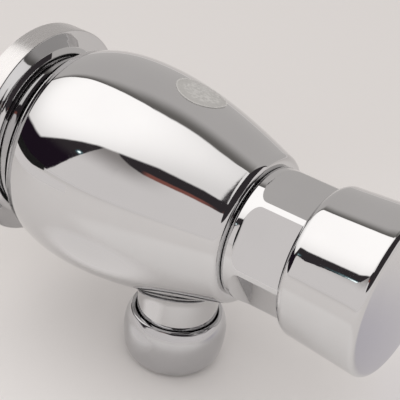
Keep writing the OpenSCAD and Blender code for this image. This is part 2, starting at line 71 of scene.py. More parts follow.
def set_camera():
    bpy.ops.object.camera_add(
        location=[along * MM for along in CAMERA_PLACE], rotation=turned(*CAMERA_TURN),
    )
    camera = bpy.context.object
    camera.name = "photo_camera"
    camera.data.sensor_width = 36.0
    camera.data.lens = CAMERA_LENS
    camera.data.clip_start = 0.01
    camera.data.clip_end = 20.0
    bpy.context.scene.camera = camera


set_camera()


# Outlines, drawn as (radius, dist) or (radius, depth)

def arc(cx, cy, r, start, end, steps=8):
    """Points on an arc about (cx, cy), from the start angle to the end angle, in degrees."""
    points = []
    for i in range(steps + 1):
        angle = math.radians(start + (end - start) * i / steps)
        points.append((cx + r * math.cos(angle), cy + r * math.sin(angle)))
    return points


def hermite(r0, r1, slope0, slope1, length, t):
    return (
        r0 * (2 * t ** 3 - 3 * t ** 2 + 1)
        + r1 * (3 * t ** 2 - 2 * t ** 3)
        + slope0 * length * (t ** 3 - 2 * t ** 2 + t)
        + slope1 * length * (t ** 3 - t ** 2)
    )


RIM_DIST, RIM_R, RIM_SLOPE = 14.8, 26.9, 0.48
BELLY_DIST, BELLY_R = 33.0, 30.45
FRONT_DIST, FRONT_R, FRONT_SLOPE = 78.4, 20.55, 0.36


def body_radius(dist):
    """The body swells from its rim to its belly and narrows to its front."""
    if dist < BELLY_DIST:
        length = BELLY_DIST - RIM_DIST
        return hermite(RIM_R, BELLY_R, RIM_SLOPE, 0, length, (dist - RIM_DIST) / length)
    length = FRONT_DIST - BELLY_DIST
    return hermite(BELLY_R, FRONT_R, 0, -FRONT_SLOPE, length, (dist - BELLY_DIST) / length)


def body_side(start, end, steps, out=0.0):
    """The body's side from start to end, as dist, moved outwards by out."""
    points = []
    for i in range(steps + 1):
        dist = start + (end - start) * i / steps
        points.append((body_radius(dist) + out, dist))
    return points


# Modelling helpers

def clear_selection():
    if bpy.context.object and bpy.context.object.mode != "OBJECT":
        bpy.ops.object.mode_set(mode="OBJECT")
    bpy.ops.object.select_all(action="DESELECT")


def pick(piece):
    clear_selection()
    piece.select_set(True)
    bpy.context.view_layer.objects.active = piece


def pick_corners(piece, wanted):
    """Selects the corners that wanted() says yes to, and goes into edit mode."""
    bpy.ops.object.mode_set(mode="EDIT")
    bpy.ops.mesh.select_mode(type="VERT")
    bpy.ops.mesh.select_all(action="DESELECT")
    bpy.ops.object.mode_set(mode="OBJECT")
    for corner in piece.data.vertices:
        corner.select = wanted(corner)
    bpy.ops.object.mode_set(mode="EDIT")


def in_space(outline, about):
    """An outline's corners as places beside the axis of the body or of the outlet."""
    if about == "body":
        return [Vector((r * MM, -dist * MM, 0)) for r, dist in outline]
    return [Vector((r * MM, -OUTLET_DIST * MM, -depth * MM)) for r, depth in outline]


def draw_outline(name, places, closed=True):
    """Draws an outline corner by corner and leaves it in edit mode, all selected."""
    clear_selection()
    bpy.ops.mesh.primitive_plane_add(size=0.01, location=places[0])
    piece = bpy.context.object
    piece.name = name
    bpy.ops.object.transform_apply(location=True, rotation=False, scale=False)
    pick_corners(piece, lambda corner: corner.index > 0)
    bpy.ops.mesh.delete(type="VERT")
    bpy.ops.mesh.select_all(action="SELECT")
    bpy.ops.object.mode_set(mode="OBJECT")
    first = piece.data.vertices[0].co.copy()
    bpy.ops.object.mode_set(mode="EDIT")
    bpy.ops.transform.translate(value=places[0] - first)
    for before, after in zip(places, places[1:]):
        bpy.ops.mesh.extrude_vertices_move(TRANSFORM_OT_translate={"value": after - before})
    if closed:
        last = len(places) - 1
        pick_corners(piece, lambda corner: corner.index in (0, last))
        bpy.ops.mesh.edge_face_add()
    bpy.ops.mesh.select_all(action="SELECT")
    return piece


def spin_outline(name, outline, about="body", segments=160, smooth_below=20, closed=True):
    """Spins an outline about the body or the outlet. One that ends on the axis isn't closed."""
    if about == "body":
        centre, axis = (0, 0, 0), (0, 1, 0)
    else:
        centre, axis = (0, -OUTLET_DIST * MM, 0), (0, 0, 1)
    piece = draw_outline(name, in_space(outline, about), closed)
    bpy.ops.mesh.spin(steps=segments, angle=math.tau, center=centre, axis=axis)
    close_up()
    smooth(piece, smooth_below)
    return piece


def close_up():
    """Joins doubled corners and turns all faces outwards, in edit mode."""
    bpy.ops.mesh.select_all(action="SELECT")
    bpy.ops.mesh.remove_doubles(threshold=0.000002)
    bpy.ops.mesh.normals_make_consistent(inside=False)
    bpy.ops.object.mode_set(mode="OBJECT")


def smooth(piece, below):
    pick(piece)
    bpy.ops.object.shade_smooth_by_angle(angle=math.radians(below))


def cut_away(piece, cutter):
    """Takes the cutter out of the piece and removes the cutter."""
    pick(piece)
    cut = piece.modifiers.new("cut", "BOOLEAN")
    cut.operation = "DIFFERENCE"
    cut.solver = "EXACT"
    cut.object = cutter
    bpy.ops.object.modifier_apply(modifier=cut.name)
    bpy.data.objects.remove(cutter)


def wind_up(piece, axis, turns, rise, steps, smooth_below, axis_dist=0):
    """Winds a closed outline into a coil that rises along its axis, and closes its ends."""
    bpy.ops.object.mode_set(mode="OBJECT")
    bpy.context.scene.cursor.location = (0, -axis_dist * MM, 0)
    bpy.ops.object.origin_set(type="ORIGIN_CURSOR")
    wind = piece.modifiers.new("wind", "SCREW")
    wind.axis = axis
    wind.angle = math.tau * turns
    wind.screw_offset = rise
    wind.steps = wind.render_steps = steps
    bpy.ops.object.modifier_apply(modifier=wind.name)
    bpy.ops.object.transform_apply(location=True, rotation=False, scale=False)
    bpy.ops.object.mode_set(mode="EDIT")
    bpy.ops.mesh.select_mode(type="VERT")
    bpy.ops.mesh.select_all(action="DESELECT")
    bpy.ops.mesh.select_non_manifold()
    bpy.ops.mesh.fill_holes(sides=0)
    close_up()
    smooth(piece, smooth_below)


# The ridge of the thread, as (radius, distance from the ridge's middle)
THREAD_PITCH = 1.814
THREAD_ROOT = 9.4
THREAD_TOP = 10.45
THREAD_OUTLINE = [
    (THREAD_ROOT - 0.15, 0.74), (THREAD_ROOT + 0.05, 0.74),
    (THREAD_TOP - 0.1, 0.2), (THREAD_TOP, 0.08), (THREAD_TOP, -0.08), (THREAD_TOP - 0.1, -0.2),
    (THREAD_ROOT + 0.05, -0.74), (THREAD_ROOT - 0.15, -0.74),
]
THREAD_END = 0.76
THREAD_STEPS = 56


def add_thread(piece, start, end, about="body"):
    """Winds a ridge round the piece from start to end, as dist or depth, and joins it on."""
    outline = [(r, start + THREAD_END + half) for r, half in THREAD_OUTLINE]
    turns = (end - start - 2 * THREAD_END) / THREAD_PITCH
    ridge = draw_outline("thread_ridge", in_space(outline, about))
    wind_up(
        ridge, axis="Y" if about == "body" else "Z", turns=-turns,
        rise=-THREAD_PITCH * turns * MM, steps=round(THREAD_STEPS * turns), smooth_below=35,
        axis_dist=0 if about == "body" else OUTLET_DIST,
    )
    clear_selection()
    ridge.select_set(True)
    piece.select_set(True)
    bpy.context.view_layer.objects.active = piece
    bpy.ops.object.join()
    clear_selection()


# The chromed body, with the water chamber and bores inside it

def make_body():
    lean = math.atan(FRONT_SLOPE)
    lean_deg = math.degrees(lean)
    front_round = 2.4
    round_r = FRONT_R + FRONT_SLOPE * front_round - front_round / math.cos(lean)
    # the hollow back, the neck with the grip ring's groove, and the rim
    outline = [(14, 1.5), (14, 10.5), (19.2, 10.5), (19.2, 1.5), (22.4, 1.5)]
    outline += arc(22.4, 2.0, 0.5, -60, 0, 3)
    outline += [(22.9, 5.2), (21.25, 5.2), (21.25, 7.0), (22.9, 7.0), (22.9, 8.1), (23.0, 8.35)]
    outline += arc(26.2, 11.4, 1.6, 156, 130, 4)
    outline += [(26.45, 14.4)] + arc(26.6, 14.75, 0.3, -50, 0, 6)
    # the outside, with its rounded front edge
    outline += body_side(14.95, FRONT_DIST - front_round * (1.05 - math.sin(lean)), 110)
    outline += arc(round_r, FRONT_DIST - front_round, front_round, lean_deg, 90, 14)
    # the bonnet's socket, the chamber, the seat's holder and the nipple's socket
    outline += [(15.4, 78.4), (15.03, 78.0), (15.03, 69.5), (14, 69.5), (14, 68.5)]
    outline += list(reversed(body_side(16.5, 66.5, 24, -3.0)))
    outline += [(15, 16.5), (15, 29), (10.48, 29), (10.48, 25), (12, 25), (12, 13.5)]
    outline += [(9.2, 13.5), (9.2, 12), (10.51, 12), (10.51, 1.5)]
    body = spin_outline("chrome_body", outline, segments=192)
    clear_selection()
    bpy.ops.mesh.primitive_cylinder_add(
        vertices=64, radius=6.0 * MM, depth=20 * MM, location=(0, -OUTLET_DIST * MM, -25 * MM),
    )
    cut_away(body, bpy.context.object)
    smooth(body, 20)
    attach(body, "valve")
    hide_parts("valve_body")
    return body


body = make_body()


# The outlet spigot, whose top flows into the body's underside

def make_spigot(body):
    shank_r, blend_r = 11.4, 4.2
    rings = 14
    foot = 33.0
    outline = [(6.0, 26.5), (6.0, 34), (6.9, 34), (6.9, 35), (6.5, 35), (6.5, 46.8), (6.7, 47)]
    outline += [(9.0, 47), (9.4, 46.6), (9.4, 38.1)]
    outline += [(11.2, 38.0), (shank_r, 37.8), (shank_r, 35.6)]
    # each ring of the blend, as (radius, how far it ends below the body's side)
    blend = []
    for i in range(rings + 1):
        angle = math.radians(90 * i / rings)
        ring_r = shank_r + blend_r * (1 - math.cos(angle))
        blend.append((ring_r, blend_r * (1 - math.sin(angle))))
    outline += [(r, foot) for r, drop in blend]
    outline += [(shank_r + blend_r - 0.8, foot - 0.01)]
    spigot = spin_outline("outlet_spigot", outline, "outlet", segments=192, smooth_below=35)

    def on_ring(corner, r):
        away = math.hypot(corner.co.x, corner.co.y + OUTLET_DIST * MM)
        return abs(away - r * MM) < 0.00002 and abs(corner.co.z + foot * MM) < 0.0001

    blended = spigot.vertex_groups.new(name="blended")
    top = [v.index for v in spigot.data.vertices if abs(v.co.z + foot * MM) < 0.0001]
    blended.add(top, 1.0, "REPLACE")
    pick(spigot)
    lay_on = spigot.modifiers.new("lay_on", "SHRINKWRAP")
    lay_on.target = body
    lay_on.wrap_method = "PROJECT"
    lay_on.use_project_z = True
    lay_on.use_positive_direction = True
    lay_on.use_negative_direction = False
    lay_on.vertex_group = blended.name
    corners = spigot.data.vertices
    rows = [{v.index for v in corners if on_ring(v, r)} for r, drop in blend]
    hidden = {v.index for v in corners if abs(v.co.z + (foot - 0.01) * MM) < 0.000004}
    bpy.ops.object.modifier_apply(modifier=lay_on.name)
    for row, (r, drop) in zip(rows, blend):
        pick_corners(spigot, lambda corner: corner.index in row)
        bpy.ops.transform.translate(value=(0, 0, -drop * MM - 0.00002))
    pick_corners(spigot, lambda corner: corner.index in hidden)
    bpy.ops.transform.translate(value=(0, 0, 1.4 * MM))
    bpy.ops.object.mode_set(mode="OBJECT")
    smooth(spigot, 35)
    add_thread(spigot, 38.1, 46.6, about="outlet")
    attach(spigot, "valve")
    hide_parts("valve_body")
    return spigot


spigot = make_spigot(body)


# The inlet nipple, which screws into the wall and into the body

def make_nipple():
    tail, front = -16.0, 10.5
    outline = [(6.5, tail), (8.9, tail), (THREAD_ROOT, tail + 0.5), (THREAD_ROOT, front - 0.5)]
    outline += [(8.9, front), (6.5, front)]
    nipple = spin_outline("threaded_nipple", outline, segments=96, smooth_below=30)
    clear_selection()
    key_flats, key_depth = 13.4, 5.0
    bpy.ops.mesh.primitive_cylinder_add(
        vertices=6, radius=key_flats / 2 / math.cos(math.radians(30)) * MM,
        depth=2 * key_depth * MM, location=(0, -tail * MM, 0), rotation=turned(90, 0, 0),
    )
    cut_away(nipple, bpy.context.object)
    smooth(nipple, 30)
    add_thread(nipple, tail + 0.2, 0.2)
    add_thread(nipple, 1.5, front - 0.2)
    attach(nipple, "valve")
    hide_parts("inlet_nipple")
    return nipple


nipple = make_nipple()


# The wall flange: a bright face with a raised collar, and a satin rim

def make_flange():
    outline = [(28.8, 0), (29.85, 0), (30, 0.15)]
    outline += arc(29.7, 6.18, 0.3, 0, 88, 8)
    outline += [(29.0, 6.46), (27.0, 6.33), (25.1, 6.21)] + arc(25.1, 6.81, 0.6, 262, 240, 3)
    outline += [(23.75, 7.2)] + arc(23.6, 7.1, 0.2, 50, 90, 4)
    outline += [(23.5, 7.3), (23.4, 7.2), (22.95, 6.2), (22.95, 5.0), (28.8, 5.0)]
    flange = spin_outline("bright_flange", outline, segments=224, smooth_below=25)
    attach(flange, "flange")
    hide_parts("wall_flange")
    return flange


flange = make_flange()


# The bonnet: a round collar and neck with six milled wrench flats

def make_flat_cutter():
    """A block whose near edges are rounded, so that the flats end in a curve."""
    clear_selection()
    bpy.ops.mesh.primitive_cube_add(size=1, location=(21.32 * MM, -91.5 * MM, 0))
    cutter = bpy.context.object
    cutter.name = "flat_cutter"
    cutter.scale = (10 * MM, 22 * MM, 36 * MM)
    bpy.ops.object.transform_apply(location=True, rotation=False, scale=True)
    pick_corners(cutter, lambda corner: corner.co.y > -85 * MM)
    bpy.ops.mesh.select_mode(type="EDGE")
    bpy.ops.object.mode_set(mode="OBJECT")
    ends = cutter.data.vertices
    for edge in cutter.data.edges:
        one, two = ends[edge.vertices[0]].co, ends[edge.vertices[1]].co
        edge.select = min(one.y, two.y) > -85 * MM and abs(one.x - two.x) < MM
    bpy.ops.object.mode_set(mode="EDIT")
    bpy.ops.mesh.bevel(offset=3.5 * MM, segments=24, affect="EDGES")
    bpy.ops.object.mode_set(mode="OBJECT")
    return cutter


def make_bonnet():
    # the plug with the O-ring's groove, and the collar
    outline = [(9, 71), (14.4, 71), (15, 71.6), (15, 76.7), (13.65, 76.7), (13.65, 78.2)]
    outline += [(15, 78.2), (15, 78.55)] + arc(17.85, 78.8, 0.25, -90, -20, 5)
    outline += arc(16.9, 79.6, 1.5, -24, 0, 6)
    # the neck, and the hollow with the rod's bore
    outline += [(18.4, 80.5), (18.4, 83.0), (18.4, 90), (18.4, 98.3)]
    outline += arc(17.8, 98.4, 0.6, 0, 90, 6)
    outline += [(13.3, 99), (13, 98.7), (13, 87.8), (3.2, 87.8), (3.2, 80.8), (4.75, 80.8)]
    outline += [(4.75, 78.8), (6.03, 78.8), (6.03, 72.5), (9, 72.5)]
    bonnet = spin_outline("wrench_bonnet", outline, segments=240, smooth_below=15)
    first_flat = 93.5
    first = make_flat_cutter()
    for i in range(6):
        pick(first)
        bpy.ops.object.duplicate(linked=False)
        cutter = bpy.context.object
        cutter.rotation_euler = turned(0, -(first_flat + 60 * i), 0)
        bpy.context.view_layer.update()
        cut_away(bonnet, cutter)
    bpy.data.objects.remove(first)
    smooth(bonnet, 15)
    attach(bonnet, "valve")
    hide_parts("bonnet")
    return bonnet


bonnet = make_bonnet()


# The push button: a flared cap with a rounded back edge and a slightly domed face

def make_button():
    back_dist, face_dist = 98.8, 117.8
    back_r, face_r = 3.3, 1.8
    side_r, flare = 20.756, 1.473
    dome_r, dome_dist, dome_rise = 20.43, 120, 0.4
    outline = [(0, face_dist), (19.63, face_dist), (20.52, 116.8)]
    outline += [(19.156, back_dist), (18.6, 97.6), (18.6, 95.75)]
    outline += arc(17.456, back_dist, back_r, -68, 0, 18)
    for i in range(1, 8):
        outline.append((side_r + flare * i / 8, back_dist + 19.0 * i / 8))
    outline += arc(20.429, face_dist, face_r, 0, 87.8, 14)
    for i in range(1, 13):
        r = dome_r * (1 - i / 12)
        outline.append((r, dome_dist - dome_rise * (r / dome_r) ** 2))
    button = spin_outline("flared_button", outline, segments=224, smooth_below=30, closed=False)
    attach(button, "button")
    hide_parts("push_button")
    return button


button = make_button()


# The coupling nut: a barrel with a flat lip and a rounded bottom

def make_nut():
    top, bottom, belly = 36.0, 52.7, 42.01
    mouth_r, belly_r, lip_r = 12.85, 14.5, 11.75
    side_r, round_r = 30.0, 6.0
    rise = belly_r - mouth_r
    up_r = ((belly - top) ** 2 + rise ** 2) / 2 / rise
    up_angle = math.degrees(math.asin((belly - top) / up_r))
    low = bottom - round_r
    low_angle = math.degrees(math.asin((low - belly) / (side_r - round_r)))
    low_r = belly_r - side_r + (side_r - round_r) * math.cos(math.radians(low_angle))
    outline = [(lip_r, 38), (lip_r, 36.35)] + arc(lip_r + 0.25, 36.35, 0.25, 180, 262, 5)
    outline += [(mouth_r - 0.22, top)] + arc(mouth_r - 0.2, top + 0.2, 0.2, -90, -34, 6)
    outline += arc(belly_r - up_r, belly, up_r, -up_angle + 1.4, 0, 22)
    outline += arc(belly_r - side_r, belly, side_r, low_angle / 12, low_angle * 11 / 12, 10)
    outline += arc(low_r, low, round_r, low_angle, 90, 24)
    outline += [(7.3, bottom), (7, 52.4), (7, 50.4), (10.1, 50.4), (10.1, 47.1)]
    outline += [(10.53, 46.6), (10.53, 39)]
    nut = spin_outline("barrel_nut", outline, about="outlet", segments=192, smooth_below=25)
    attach(nut, "outlet_coupling")
    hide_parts("outlet_nut")
    return nut


nut = make_nut()


# The return spring inside, wound at one length. In the valve it shortens as the button goes in

def make_spring():
    wire_r, turns, steps = 0.6, 6, 48
    low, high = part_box("return_spring")
    back, front = high.y - wire_r * MM, low.y + wire_r * MM
    clear_selection()
    bpy.ops.mesh.primitive_circle_add(
        vertices=16, radius=wire_r * MM, location=(high.x - wire_r * MM, back, 0),
    )
    spring = bpy.context.object
    spring.name = "coiled_spring"
    wind_up(spring, "Y", turns, rise=front - back, steps=steps * turns, smooth_below=50)
    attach(spring, "valve")
    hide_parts("return_spring")
    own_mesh(spring)
    return spring


spring = make_spring()


# The clear sticker on top of the body, a plain round film

STICKER_DIST = 51.5
STICKER_R = 7.2
STICKER_ANGLE = math.radians(77)
STICKER_LIFT = 0.03
STICKER_T = 0.15


def sticker_place():
    """The middle of the sticker on the body's side, and the way it faces."""
    out = Vector((math.cos(STICKER_ANGLE), 0, math.sin(STICKER_ANGLE)))
    slope = body_radius(STICKER_DIST + 0.5) - body_radius(STICKER_DIST - 0.5)
    middle = out * body_radius(STICKER_DIST) * MM + Vector((0, -STICKER_DIST * MM, 0))
    return middle, (out + Vector((0, slope, 0))).normalized()


def make_sticker(body):
    """A disc with rings of corners, laid from above on the body and then made thick."""
    middle, facing = sticker_place()
    rings, above = 12, 4
    clear_selection()
    bpy.ops.mesh.primitive_circle_add(
        vertices=96, radius=STICKER_R * MM, fill_type="NGON",
        location=middle + facing * above * MM, rotation=facing.to_track_quat("Z", "Y").to_euler(),
    )
    sticker = bpy.context.object
    sticker.name = "clear_film_disc"
    bpy.ops.object.mode_set(mode="EDIT")
    bpy.ops.mesh.select_mode(type="FACE")
    bpy.ops.mesh.select_all(action="SELECT")
    for i in range(rings):
        bpy.ops.mesh.inset(thickness=STICKER_R * 0.96 / rings * MM)
    bpy.ops.mesh.poke()
    bpy.ops.object.mode_set(mode="OBJECT")
    lay_on = sticker.modifiers.new("lay_on", "SHRINKWRAP")
    lay_on.target = body
    lay_on.wrap_method = "PROJECT"
    lay_on.use_project_z = True
    lay_on.use_positive_direction = False
    lay_on.use_negative_direction = True
    lay_on.wrap_mode = "ABOVE_SURFACE"
    lay_on.offset = STICKER_LIFT * MM
    bpy.ops.object.modifier_apply(modifier=lay_on.name)
    wall = sticker.modifiers.new("wall", "SOLIDIFY")
    wall.thickness = STICKER_T * MM
    wall.offset = 1.0
    bpy.ops.object.modifier_apply(modifier=wall.name)
    bpy.ops.object.transform_apply(location=True, rotation=True, scale=True)
    bpy.ops.object.mode_set(mode="EDIT")
    close_up()
    smooth(sticker, 40)
    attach(sticker, "valve")
    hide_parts("clear_sticker")
    return sticker


sticker = make_sticker(body)


# The studio: a pale floor, two soft lamps, and round them a dome of light and dark. The metal
# alone mirrors the dome and the flag, cards and sheet that stand nearer.

FLOOR_Z = -52.75 * MM
FLOOR_SIZE = 12.0
DOME_R = 2.5
CAMERA_HEADING = -148.4
LIGHT_HEADING = -134.4

# Edges on the dome as (azimuth from the camera's side, elevation)
SOFTBOX_EDGE = [
    (-180, 75), (-165, 72), (-155, 66), (-150, 60), (-146, 52), (-142, 40), (-139, 22),
    (-137, 9), (-120, 8), (-110, 11), (-100, 14), (-85, 16), (-75, 25), (-65, 35), (-57, 41),
    (-45, 45.5), (-30, 50), (-14, 50), (-5, 45), (60, 45), (105, 60), (116, 76), (130, 77),
    (180, 75),
]
DARK_EDGE = [
    (-180, 0), (-137, -8), (-68.5, -2), (-67.5, 0.5), (-65, 4.5), (-63, 10.5), (-61, 17),
    (-59, 23.5), (-57.5, 29), (-56, 34), (-54.5, 40), (-53, 45), (-49, 47), (-46, 43),
    (-40, 39.5), (-34, 37), (-28, 36.6), (-20, 36.6), (-15, 35.3), (-12, 33), (-8, 25),
    (0, 20), (40, 13), (75, 10), (84, 21), (101, 21), (105, -5), (180, -5),
]
BACK_EDGE = [(-180, 90), (-141, 90), (-137, -90), (98, -90), (108, 90), (180, 90)]

# Directions of the softbox's front end and middle, and of one small light in the dark
SOFTBOX_FRONT = (-113.8, 8.6)
SOFTBOX_MIDDLE = (-110, 58)
GLINT = (-59.8, 27.2)

# What the parts of the dome shine with
SOFTBOX, SOFTBOX_GLOW = (0.98, 0.95, 0.93), (1.50, 1.46, 1.43)
ROOM, WALL_SHADE = (0.84, 0.80, 0.785), (0.33, 0.305, 0.295)
BACK, BACK_SHADE = (0.57, 0.545, 0.53), (0.17, 0.16, 0.15)
DARK, DARK_PALER = (0.015, 0.009, 0.016), (0.040, 0.034, 0.037)
WOOD, TEAL, SPARK = (0.27, 0.10, 0.08), (0.09, 0.17, 0.19), (1.6, 1.8, 1.8)
# the floor sheet's glow, a painted reflection on the body's underside
SHEET_GLOW = (0.86, 0.82, 0.80)

# A glowing card beside the button, a painted reflection, as (distance along it, height). It trims
# the dark band.
CARD_AWAY = 0.259
NEAR_CARD = [
    (-0.150, 0), (-0.084, 0), (-0.084, 0.112), (-0.087, 0.122), (-0.092, 0.138),
    (-0.098, 0.150), (-0.108, 0.158), (-0.114, 0.166), (-0.119, 0.182), (-0.150, 0.182),
]


def add_card(name, place, size, turn):
    """A flat card: its middle's height is above the floor, and it lies flat before its turn."""
    clear_selection()
    bpy.ops.mesh.primitive_plane_add(size=1, location=(place[0], place[1], FLOOR_Z + place[2]))
    card = bpy.context.object
    card.name = name
    card.scale = (*size, 1)
    card.rotation_euler = turned(*turn)
    return card


def make_stage():
    clear_selection()
    bpy.ops.mesh.primitive_plane_add(size=FLOOR_SIZE, location=(0, 0, FLOOR_Z))
    floor = bpy.context.object
    floor.name = "pale_floor"
    clear_selection()
    bpy.ops.mesh.primitive_uv_sphere_add(segments=48, ring_count=24, radius=DOME_R)
    dome = bpy.context.object
    dome.name = "studio_dome"
    flag = add_card("black_flag", (-0.321, 0.385, 0.032), (0.86, 0.064), (90, 0, -21))
    # two glowing cards, painted reflections that the metal alone sees
    low_card = add_card("low_glow_card", (-0.175, 0.16, 0.018), (0.24, 0.036), (90, 0, 38))
    near_card = draw_outline("near_glow_card", [
        Vector((-0.854 * CARD_AWAY + 0.521 * along, 0.521 * CARD_AWAY + 0.854 * along, height))
        for along, height in NEAR_CARD
    ])
    bpy.ops.mesh.edge_face_add()
    bpy.ops.object.mode_set(mode="OBJECT")
    # a glowing sheet on the floor, a painted reflection under the body
    sheet = add_card(
        "floor_glow_sheet", (-0.043, -0.027, 0.0003), (0.060, 0.072), (0, 0, LIGHT_HEADING),
    )
    for card in (dome, flag, low_card, near_card, sheet):
        card.visible_camera = False
        card.visible_diffuse = False
        card.visible_shadow = False
        card.visible_transmission = False
    return floor, dome, flag, low_card, near_card, sheet


floor, dome, flag, low_card, near_card, sheet = make_stage()


def make_lamp(name, place, aim, size, watts):
    bpy.ops.object.light_add(type="AREA", location=place)
    lamp = bpy.context.object
    lamp.name = name
    lamp.data.shape = "SQUARE"
    lamp.data.size = size
    lamp.data.energy = watts
    lamp.rotation_euler = (Vector(place) - Vector(aim)).to_track_quat("Z", "Y").to_euler()
    lamp.visible_glossy = False


make_lamp("soft_lamp", place=(-0.08, 0.40, 0.66), aim=(0, -0.05, 0), size=0.5, watts=0.9)
make_lamp("front_fill", place=(-0.8, -0.5, 0.8), aim=(-0.35, -0.2, 0), size=0.7, watts=2.3)


# Finishes

def new_material(name):
    material = bpy.data.materials.new(name)
    material.use_nodes = True
    nodes = material.node_tree.nodes
    shader = nodes["Principled BSDF"]
    return material, nodes, material.node_tree.links, shader


def number(nodes, links, operation, one, two=None):
    """One step of arithmetic on one or two numbers, each given as a value or as a socket."""
    step = nodes.new("ShaderNodeMath")
    step.operation = operation
    for socket, value in zip(step.inputs, (one, two)):
        if isinstance(value, (int, float)):
            socket.default_value = value
        elif value is not None:
            links.new(value, socket)
    return step.outputs[0]


def measure(nodes, links, operation, place, other=None):
    """A place's LENGTH, its DISTANCE from another or its DOT_PRODUCT with a direction."""
    step = nodes.new("ShaderNodeVectorMath")
    step.operation = operation
    links.new(place, step.inputs[0])
    if other is not None:
        step.inputs[1].default_value = other
    return step.outputs["Value"]


def spread(nodes, links, value, low, high, out_low=0.0, out_high=1.0):
    """Smooth step from out_low to out_high while the value goes from low to high."""
    step = nodes.new("ShaderNodeMapRange")
    step.interpolation_type = "SMOOTHSTEP"
    links.new(value, step.inputs["Value"])
    step.inputs["From Min"].default_value = low
    step.inputs["From Max"].default_value = high
    step.inputs["To Min"].default_value = out_low
    step.inputs["To Max"].default_value = out_high
    return step.outputs["Result"]


def blend_colour(nodes, links, share, one, two):
    """The first colour where share is 0, the second where it is 1."""
    mix = nodes.new("ShaderNodeMix")
    mix.data_type = "RGBA"
    links.new(share, mix.inputs["Factor"])
    for socket, value in ((mix.inputs[6], one), (mix.inputs[7], two)):
        if isinstance(value, tuple):
            socket.default_value = value + (1.0,)
        else:
            links.new(value, socket)
    return mix.outputs[2]


def object_place(nodes):
    return nodes.new("ShaderNodeTexCoord").outputs["Object"]


def clouds(nodes, links, scale, detail=3.0, place=None):
    """Soft noise, with scale in patches per metre."""
    noise = nodes.new("ShaderNodeTexNoise")
    noise.inputs["Scale"].default_value = scale
    noise.inputs["Detail"].default_value = detail
    links.new(place or object_place(nodes), noise.inputs["Vector"])
    return noise.outputs["Fac"]


def turned_lines(nodes, links, scale, about="body"):
    """Fine rings round the body's or the outlet's axis, as a lathe or buffing wheel leaves."""
    centre = nodes.new("ShaderNodeMapping")
    centre.vector_type = "POINT"
    centre.inputs["Location"].default_value = (0, 0 if about == "body" else OUTLET_DIST * MM, 0)
    links.new(object_place(nodes), centre.inputs["Vector"])
    across = nodes.new("ShaderNodeVectorMath")
    across.operation = "MULTIPLY"
    across.inputs[1].default_value = (1, 0, 1) if about == "body" else (1, 1, 0)
    links.new(centre.outputs["Vector"], across.inputs[0])
    away = measure(nodes, links, "LENGTH", across.outputs["Vector"])
    parts = nodes.new("ShaderNodeSeparateXYZ")
    links.new(centre.outputs["Vector"], parts.inputs["Vector"])
    rings = nodes.new("ShaderNodeCombineXYZ")
    links.new(away, rings.inputs["X"])
    links.new(parts.outputs["Y" if about == "body" else "Z"], rings.inputs["Y"])
    return clouds(nodes, links, scale, 2.0, rings.outputs["Vector"])


def pores(nodes, links, scale):
    """Small round cells, with scale in cells per metre."""
    cells = nodes.new("ShaderNodeTexVoronoi")
    cells.inputs["Scale"].default_value = scale
    links.new(object_place(nodes), cells.inputs["Vector"])
    return spread(nodes, links, cells.outputs["Distance"], 0.1, 0.6)


def stand_up(nodes, links, shader, height, relief):
    """Lets the height stand up from the surface by relief, in mm."""
    bump = nodes.new("ShaderNodeBump")
    bump.inputs["Strength"].default_value = 1.0
    bump.inputs["Distance"].default_value = relief * MM
    links.new(height, bump.inputs["Height"])
    links.new(bump.outputs["Normal"], shader.inputs["Normal"])


PATCHES = 60.0


def finish(name, dull, bright, metallic, gloss, grain, relief):
    """A finish: its colour drifts between dull and bright in soft patches, and its grain
    moves the roughness between the two values of gloss and stands up by relief, in mm."""
    material, nodes, links, shader = new_material(name)
    shader.inputs["Metallic"].default_value = metallic
    fine = grain(nodes, links)
    drift = spread(nodes, links, clouds(nodes, links, PATCHES), 0.3, 0.7)
    links.new(blend_colour(nodes, links, drift, dull, bright), shader.inputs["Base Color"])
    links.new(spread(nodes, links, fine, 0.3, 0.7, *gloss), shader.inputs["Roughness"])
    stand_up(nodes, links, shader, fine, relief)
    return material


FILM_CLEAR, FILM_CLOUDY = (0.60, 0.585, 0.56), (0.70, 0.685, 0.66)
FILM_ALPHA = (0.55, 0.62)
MOTTLES = 1100.0


def make_film():
    """Clear film with a cloudy edge and a mottled middle, where the glue holds unevenly."""
    material, nodes, links, shader = new_material("clear_film")
    shader.inputs["Roughness"].default_value = 0.22
    middle = sticker_place()[0]
    away = measure(nodes, links, "DISTANCE", object_place(nodes), middle)
    inner = spread(nodes, links, away, 5.6 * MM, 4.9 * MM)
    mottle = spread(nodes, links, clouds(nodes, links, MOTTLES), 0.38, 0.62)
    spots = number(nodes, links, "MULTIPLY", inner, mottle)
    edge = spread(nodes, links, away, 6.7 * MM, 7.1 * MM)
    light = number(nodes, links, "MAXIMUM", edge, spots)
    tint = blend_colour(nodes, links, light, FILM_CLEAR, FILM_CLOUDY)
    links.new(tint, shader.inputs["Base Color"])
    links.new(spread(nodes, links, light, 0.0, 1.0, *FILM_ALPHA), shader.inputs["Alpha"])
    stand_up(nodes, links, shader, mottle, 0.02)
    return material


# The grains that a finish can have

def fine_grain(scale):
    return lambda nodes, links: clouds(nodes, links, scale)


def lathe_grain(scale, about="body"):
    return lambda nodes, links: turned_lines(nodes, links, scale, about)


def foam_grain(scale):
    return lambda nodes, links: pores(nodes, links, scale)


